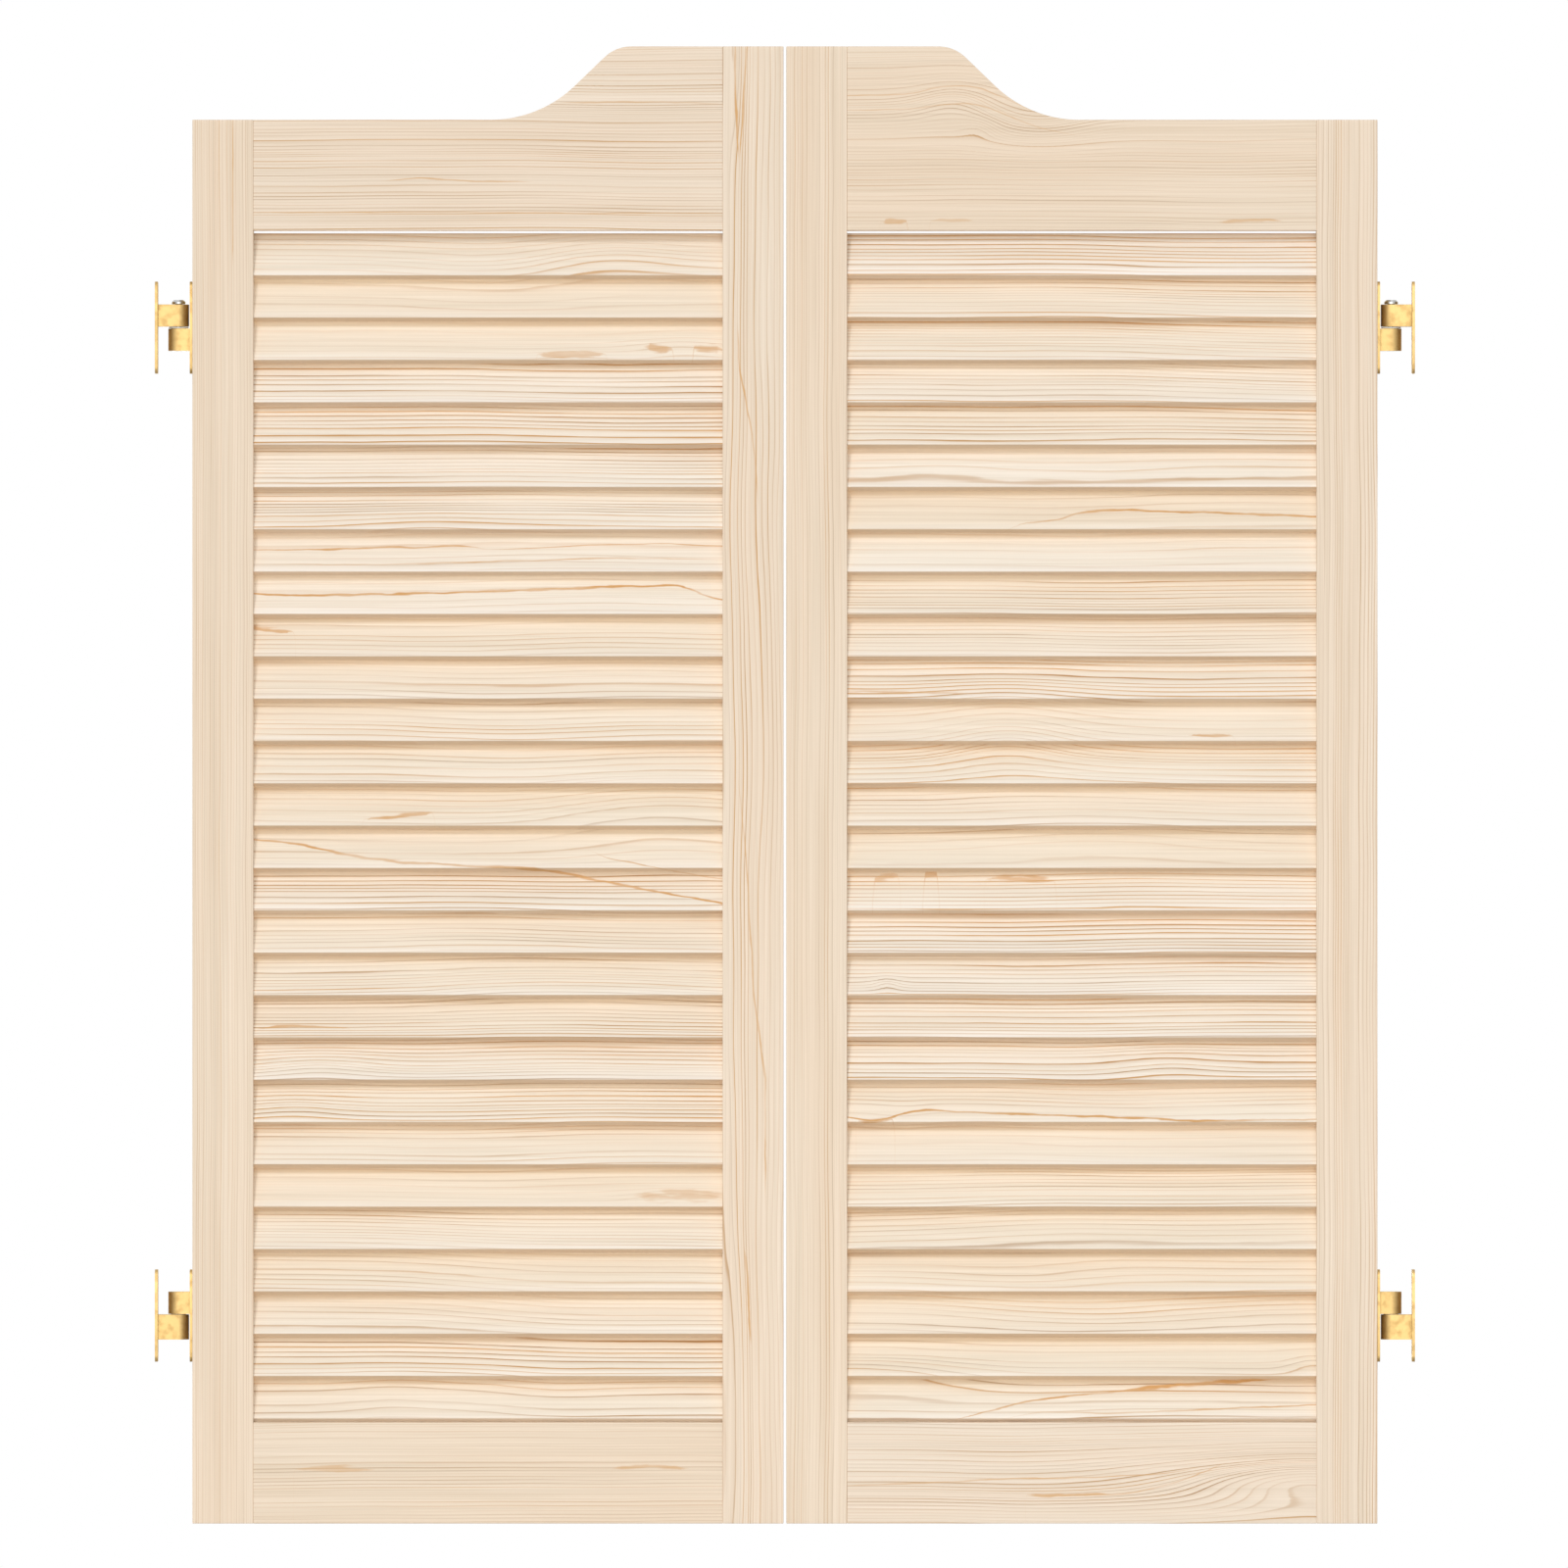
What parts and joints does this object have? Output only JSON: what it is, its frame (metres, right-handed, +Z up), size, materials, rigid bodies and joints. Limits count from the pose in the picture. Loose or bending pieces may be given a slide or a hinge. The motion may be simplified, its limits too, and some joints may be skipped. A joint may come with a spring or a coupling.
{
  "type": "cafe doors",
  "caption": "Louvred pine cafe doors with an ogee-stepped top edge, hung on double-acting gravity pivots that let each leaf swing both ways and fall back to centre.",
  "frame": {"origin": "between the two leaves, in the middle of their thickness, level with their bottom edges", "axes": "+Z up along the leaves' height, +X to the right across the doorway seen from the front, +Y towards the back; the slats' lower edges face the front, -Y"},
  "size_m": [0.9104, 0.0286, 1.067],
  "materials": {
    "pine": "bare sanded pine, fine straight grain",
    "slat_pine": "bare sanded pine, mixed flat-sawn and straight grain",
    "beech": "turned beech dowel",
    "brass": "satin brass",
    "steel": "turned steel",
    "nylon": "natural moulded nylon"
  },
  "bodies": {
    "jamb_hardware": {"left_lower_jamb_bracket": "brass", "left_lower_pin": "steel", "left_lower_cam": "nylon", "left_upper_jamb_bracket": "brass", "left_upper_pin": "steel", "right_lower_jamb_bracket": "brass", "right_lower_pin": "steel", "right_lower_cam": "nylon", "right_upper_jamb_bracket": "brass", "right_upper_pin": "steel"},
    "left_leaf": {"left_hinge_stile": "pine", "left_meeting_stile": "pine", "left_top_rail": "pine", "left_bottom_rail": "pine", "left_louvre_pack_1": "slat_pine", "left_louvre_pack_2": "slat_pine", "left_louvre_pack_3": "slat_pine", "left_louvre_pack_4": "slat_pine", "left_bottom_hinge_dowel_1": "beech", "left_bottom_hinge_dowel_2": "beech", "left_bottom_meeting_dowel_1": "beech", "left_bottom_meeting_dowel_2": "beech", "left_top_hinge_dowel_1": "beech", "left_top_hinge_dowel_2": "beech", "left_top_meeting_dowel_1": "beech", "left_top_meeting_dowel_2": "beech", "left_lower_door_bracket": "brass", "left_lower_follower": "nylon", "left_lower_screw_1": "brass", "left_lower_screw_2": "brass", "left_upper_door_bracket": "brass", "left_upper_bush": "nylon", "left_upper_screw_1": "brass", "left_upper_screw_2": "brass"},
    "right_leaf": {"right_hinge_stile": "pine", "right_meeting_stile": "pine", "right_top_rail": "pine", "right_bottom_rail": "pine", "right_louvre_pack_1": "slat_pine", "right_louvre_pack_2": "slat_pine", "right_louvre_pack_3": "slat_pine", "right_louvre_pack_4": "slat_pine", "right_bottom_hinge_dowel_1": "beech", "right_bottom_hinge_dowel_2": "beech", "right_bottom_meeting_dowel_1": "beech", "right_bottom_meeting_dowel_2": "beech", "right_top_hinge_dowel_1": "beech", "right_top_hinge_dowel_2": "beech", "right_top_meeting_dowel_1": "beech", "right_top_meeting_dowel_2": "beech", "right_lower_door_bracket": "brass", "right_lower_follower": "nylon", "right_lower_screw_1": "brass", "right_lower_screw_2": "brass", "right_upper_door_bracket": "brass", "right_upper_bush": "nylon", "right_upper_screw_1": "brass", "right_upper_screw_2": "brass"}
  },
  "joints": [
    {"name": "left_swing", "type": "hinge", "parent": "jamb_hardware", "child": "left_leaf", "pos_m": [-0.4382, 0, 0], "axis": [0, 0, 1], "range_deg": [-90, 90], "stiffness_Nm_per_rad": 0.12},
    {"name": "right_swing", "type": "hinge", "parent": "jamb_hardware", "child": "right_leaf", "pos_m": [0.4382, 0, 0], "axis": [0, 0, -1], "range_deg": [-90, 90], "stiffness_Nm_per_rad": 0.12}
  ]
}
